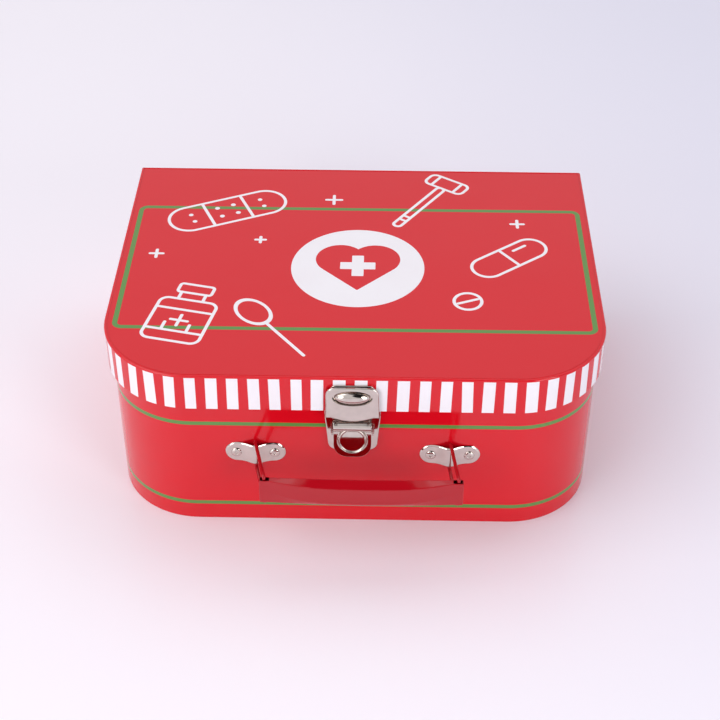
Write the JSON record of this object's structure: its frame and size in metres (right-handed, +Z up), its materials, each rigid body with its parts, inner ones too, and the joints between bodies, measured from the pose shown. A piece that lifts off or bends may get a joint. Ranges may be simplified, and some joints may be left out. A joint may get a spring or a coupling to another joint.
{
  "type": "toy doctor case",
  "caption": "Small D-shaped paperboard play suitcase with a hinged lid, a draw latch and a swinging handle.",
  "frame": {"origin": "on the floor under the middle of the lid's plan", "axes": "+Z up, -Y towards the front with the latch and handle, +X to the right as seen from the front"},
  "size_m": [0.25, 0.2179, 0.0965],
  "materials": {
    "paper_board": "laminated printed paperboard, gloss",
    "printed_sheet": "laminated printed sheet, gloss",
    "lining": "matt lining paper",
    "hinge_cloth": "book cloth, satin",
    "nickel_plate": "nickel-plated pressed steel, polished",
    "nickel_small": "nickel-plated steel, polished",
    "grip_plastic": "moulded plastic, gloss",
    "cord_plastic": "solid plastic cord, satin"
  },
  "bodies": {
    "case_body": {"base_board": "paper_board", "body_wall": "paper_board", "body_back_board": "paper_board", "body_lining": "lining", "base_lining": "lining", "hinge_strip": "hinge_cloth", "hinge_lining": "hinge_cloth", "handle_bracket_left": "nickel_plate", "handle_bracket_right": "nickel_plate", "bracket_rivets": "nickel_small", "bracket_washers": "nickel_small", "latch_base_plate": "nickel_plate", "latch_base_rivets": "nickel_small", "latch_base_washers": "nickel_small", "lever_pin": "nickel_small", "handle_loop_left": "cord_plastic", "handle_loop_right": "cord_plastic"},
    "case_lid": {"lid_board": "paper_board", "lid_cover": "printed_sheet", "lid_rim": "paper_board", "lid_back_board": "paper_board", "lid_lining": "lining", "rim_lining": "lining", "strike_plate": "nickel_plate", "strike_rivets": "nickel_small"},
    "carry_handle": {"handle_grip": "grip_plastic"},
    "lever": {"latch_lever": "nickel_plate", "hook_pin": "nickel_small"},
    "hook": {"hook_plate": "nickel_plate"}
  },
  "joints": [
    {"name": "lid_hinge", "type": "hinge", "parent": "case_body", "child": "case_lid", "pos_m": [0, 0.094, 0.076], "axis": [-1, 0, 0], "range_deg": [0, 100], "deforming": ["hinge_strip", "hinge_lining"]},
    {"name": "handle_hinge", "type": "hinge", "parent": "case_body", "child": "carry_handle", "pos_m": [0, -0.0924, 0.0465], "axis": [1, 0, 0], "range_deg": [-35, 72], "deforming": ["handle_loop_left", "handle_loop_right"]},
    {"name": "lever_hinge", "type": "hinge", "parent": "case_body", "child": "lever", "pos_m": [0, -0.0946, 0.0674], "axis": [-1, 0, 0], "range_deg": [0, 95]},
    {"name": "hook_hinge", "type": "hinge", "parent": "lever", "child": "hook", "pos_m": [0, -0.094, 0.0629], "axis": [-1, 0, 0], "range_deg": [-104.5, 0]}
  ],
  "couplings": [
    {"joint": "hook_hinge", "follows": "lever_hinge", "ratio": -1.1}
  ]
}
